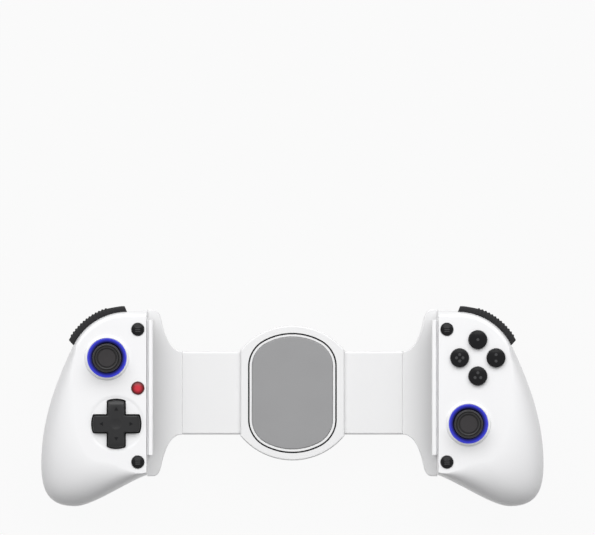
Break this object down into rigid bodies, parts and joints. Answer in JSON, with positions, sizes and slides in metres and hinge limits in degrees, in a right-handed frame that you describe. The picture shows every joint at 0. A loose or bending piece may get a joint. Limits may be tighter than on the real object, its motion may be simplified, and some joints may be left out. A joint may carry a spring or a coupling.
{
  "type": "phone game controller",
  "caption": "Stretching phone game controller: two hand grips with sticks, buttons and triggers on a sprung sliding bridge with a rest pad.",
  "frame": {"origin": "middle of the surface that the grips rest on, under the centre of the bounding box", "axes": "+X from the left grip to the right grip, +Y towards the shoulder buttons, +Z out of the face with the buttons"},
  "size_m": [0.2512, 0.1002, 0.0464],
  "materials": {
    "white_plastic": "moulded, glossy",
    "trim_line": "dark satin trim",
    "rest_pad": "matt silicone pad",
    "steel": "bright zinc",
    "ribbon": "polyimide film",
    "gear_nylon": "natural nylon",
    "slide_plastic": "satin slide surface",
    "jaw_rubber": "ribbed rubber",
    "board": "solder mask",
    "silicone": "silicone",
    "housing_plastic": "moulded",
    "light_ring": "lit translucent ring",
    "stick_rubber": "matt rubber",
    "bumper_plastic": "satin, ribbed",
    "battery_wrap": "foil wrap",
    "dpad_plastic": "satin",
    "red_plastic": "moulded, glossy",
    "key_plastic": "moulded, glossy"
  },
  "bodies": {
    "bridge": {"hub_front_cover": "white_plastic", "hub_back_cover": "white_plastic", "pad_trim": "trim_line", "rest_pad": "rest_pad", "left_sleeve": "white_plastic", "right_sleeve": "white_plastic", "hub_screws": "steel", "left_return_spring": "steel", "right_return_spring": "steel", "ribbon_cable": "ribbon"},
    "sync_pinion": {"sync_pinion": "gear_nylon"},
    "left_grip": {"left_tongue": "slide_plastic", "left_shoulder": "white_plastic", "left_jaw_lip": "white_plastic", "left_jaw_pad": "jaw_rubber", "left_front_shell": "white_plastic", "left_back_shell": "white_plastic", "left_board": "board", "left_key_mat": "silicone", "left_stick_housing": "housing_plastic", "left_light_ring": "light_ring", "left_screws": "steel", "left_lever_pins": "steel", "left_trigger_spring": "steel", "battery": "battery_wrap"},
    "right_grip": {"right_tongue": "slide_plastic", "right_shoulder": "white_plastic", "right_jaw_lip": "white_plastic", "right_jaw_pad": "jaw_rubber", "right_front_shell": "white_plastic", "right_back_shell": "white_plastic", "right_board": "board", "right_key_mat": "silicone", "right_stick_housing": "housing_plastic", "right_light_ring": "light_ring", "right_screws": "steel", "right_lever_pins": "steel", "right_trigger_spring": "steel", "charging_socket": "steel"},
    "left_stick_yoke": {"left_stick_yoke": "steel"},
    "left_stick_shaft": {"left_stick_shaft": "steel"},
    "left_stick_cap": {"left_stick_cap": "stick_rubber"},
    "left_bumper": {"left_bumper": "bumper_plastic"},
    "left_trigger": {"left_trigger": "bumper_plastic"},
    "right_stick_yoke": {"right_stick_yoke": "steel"},
    "right_stick_shaft": {"right_stick_shaft": "steel"},
    "right_stick_cap": {"right_stick_cap": "stick_rubber"},
    "right_bumper": {"right_bumper": "bumper_plastic"},
    "right_trigger": {"right_trigger": "bumper_plastic"},
    "dpad_spider": {"dpad_spider": "steel"},
    "dpad": {"dpad": "dpad_plastic"},
    "north_button": {"north_button": "key_plastic"},
    "south_button": {"south_button": "key_plastic"},
    "east_button": {"east_button": "key_plastic"},
    "west_button": {"west_button": "key_plastic"},
    "left_upper_button": {"left_upper_button": "key_plastic"},
    "left_lower_button": {"left_lower_button": "key_plastic"},
    "red_button": {"red_button": "red_plastic"},
    "right_upper_button": {"right_upper_button": "key_plastic"},
    "right_lower_button": {"right_lower_button": "key_plastic"}
  },
  "joints": [
    {"name": "left_slide", "type": "slide", "parent": "bridge", "child": "left_grip", "axis": [-1, 0, 0], "range_m": [0, 0.038], "stiffness_N_per_m": 60, "springref_m": -0.05, "deforming": ["left_return_spring", "ribbon_cable"]},
    {"name": "right_slide", "type": "slide", "parent": "bridge", "child": "right_grip", "axis": [1, 0, 0], "range_m": [0, 0.038], "stiffness_N_per_m": 60, "springref_m": -0.05, "deforming": ["right_return_spring", "ribbon_cable"]},
    {"name": "pinion_spin", "type": "hinge", "parent": "bridge", "child": "sync_pinion", "pos_m": [0, 0.0065, 0.015], "axis": [0, 0, 1], "range_deg": [0, 390.3]},
    {"name": "left_stick_tilt_y", "type": "hinge", "parent": "left_grip", "child": "left_stick_yoke", "pos_m": [-0.09245, 0.0242, 0.0295], "axis": [1, 0, 0], "range_deg": [-16, 16], "stiffness_Nm_per_rad": 0.04},
    {"name": "left_stick_tilt_x", "type": "hinge", "parent": "left_stick_yoke", "child": "left_stick_shaft", "pos_m": [-0.09245, 0.0242, 0.0295], "axis": [0, 1, 0], "range_deg": [-16, 16], "stiffness_Nm_per_rad": 0.04},
    {"name": "left_stick_click", "type": "slide", "parent": "left_stick_shaft", "child": "left_stick_cap", "axis": [0, 0, -1], "range_m": [0, 0.0005], "stiffness_N_per_m": 1500, "springref_m": -0.001},
    {"name": "left_bumper_press", "type": "hinge", "parent": "left_grip", "child": "left_bumper", "pos_m": [-0.08646, 0.04376, 0.0262], "axis": [0, 0, 1], "range_deg": [0, 3.2], "stiffness_Nm_per_rad": 0.6, "springref_deg": -3.44},
    {"name": "left_trigger_pull", "type": "hinge", "parent": "left_grip", "child": "left_trigger", "pos_m": [-0.09563, 0.03798, 0.021], "axis": [-0.8434, -0.5373, 0], "range_deg": [0, 12], "stiffness_Nm_per_rad": 0.1, "springref_deg": -17.19},
    {"name": "right_stick_tilt_y", "type": "hinge", "parent": "right_grip", "child": "right_stick_yoke", "pos_m": [0.0878, -0.0087, 0.0295], "axis": [1, 0, 0], "range_deg": [-16, 16], "stiffness_Nm_per_rad": 0.04},
    {"name": "right_stick_tilt_x", "type": "hinge", "parent": "right_stick_yoke", "child": "right_stick_shaft", "pos_m": [0.0878, -0.0087, 0.0295], "axis": [0, 1, 0], "range_deg": [-16, 16], "stiffness_Nm_per_rad": 0.04},
    {"name": "right_stick_click", "type": "slide", "parent": "right_stick_shaft", "child": "right_stick_cap", "axis": [0, 0, -1], "range_m": [0, 0.0005], "stiffness_N_per_m": 1500, "springref_m": -0.001},
    {"name": "right_bumper_press", "type": "hinge", "parent": "right_grip", "child": "right_bumper", "pos_m": [0.08646, 0.04376, 0.0262], "axis": [0, 0, -1], "range_deg": [0, 3.2], "stiffness_Nm_per_rad": 0.6, "springref_deg": -3.44},
    {"name": "right_trigger_pull", "type": "hinge", "parent": "right_grip", "child": "right_trigger", "pos_m": [0.09563, 0.03798, 0.021], "axis": [-0.8434, 0.5373, 0], "range_deg": [0, 12], "stiffness_Nm_per_rad": 0.1, "springref_deg": -17.19},
    {"name": "dpad_tilt_y", "type": "hinge", "parent": "left_grip", "child": "dpad_spider", "pos_m": [-0.0878, -0.0087, 0.032], "axis": [1, 0, 0], "range_deg": [-5, 5], "stiffness_Nm_per_rad": 0.06, "deforming": ["left_key_mat"]},
    {"name": "dpad_tilt_x", "type": "hinge", "parent": "dpad_spider", "child": "dpad", "pos_m": [-0.0878, -0.0087, 0.032], "axis": [0, 1, 0], "range_deg": [-5, 5], "stiffness_Nm_per_rad": 0.06, "deforming": ["left_key_mat"]},
    {"name": "north_button_press", "type": "slide", "parent": "right_grip", "child": "north_button", "axis": [0, 0, -1], "range_m": [0, 0.0012], "stiffness_N_per_m": 600, "springref_m": -0.001, "deforming": ["right_key_mat"]},
    {"name": "south_button_press", "type": "slide", "parent": "right_grip", "child": "south_button", "axis": [0, 0, -1], "range_m": [0, 0.0012], "stiffness_N_per_m": 600, "springref_m": -0.001, "deforming": ["right_key_mat"]},
    {"name": "east_button_press", "type": "slide", "parent": "right_grip", "child": "east_button", "axis": [0, 0, -1], "range_m": [0, 0.0012], "stiffness_N_per_m": 600, "springref_m": -0.001, "deforming": ["right_key_mat"]},
    {"name": "west_button_press", "type": "slide", "parent": "right_grip", "child": "west_button", "axis": [0, 0, -1], "range_m": [0, 0.0012], "stiffness_N_per_m": 600, "springref_m": -0.001, "deforming": ["right_key_mat"]},
    {"name": "left_upper_button_press", "type": "slide", "parent": "left_grip", "child": "left_upper_button", "axis": [0, 0, -1], "range_m": [0, 0.0007], "stiffness_N_per_m": 800, "springref_m": -0.001, "deforming": ["left_key_mat"]},
    {"name": "left_lower_button_press", "type": "slide", "parent": "left_grip", "child": "left_lower_button", "axis": [0, 0, -1], "range_m": [0, 0.0007], "stiffness_N_per_m": 800, "springref_m": -0.001, "deforming": ["left_key_mat"]},
    {"name": "red_button_press", "type": "slide", "parent": "left_grip", "child": "red_button", "axis": [0, 0, -1], "range_m": [0, 0.0007], "stiffness_N_per_m": 800, "springref_m": -0.001, "deforming": ["left_key_mat"]},
    {"name": "right_upper_button_press", "type": "slide", "parent": "right_grip", "child": "right_upper_button", "axis": [0, 0, -1], "range_m": [0, 0.0007], "stiffness_N_per_m": 800, "springref_m": -0.001, "deforming": ["right_key_mat"]},
    {"name": "right_lower_button_press", "type": "slide", "parent": "right_grip", "child": "right_lower_button", "axis": [0, 0, -1], "range_m": [0, 0.0007], "stiffness_N_per_m": 800, "springref_m": -0.001, "deforming": ["right_key_mat"]}
  ],
  "couplings": [
    {"joint": "right_slide", "follows": "left_slide", "ratio": 1},
    {"joint": "pinion_spin", "follows": "left_slide", "rad_per_m": 178.57}
  ]
}
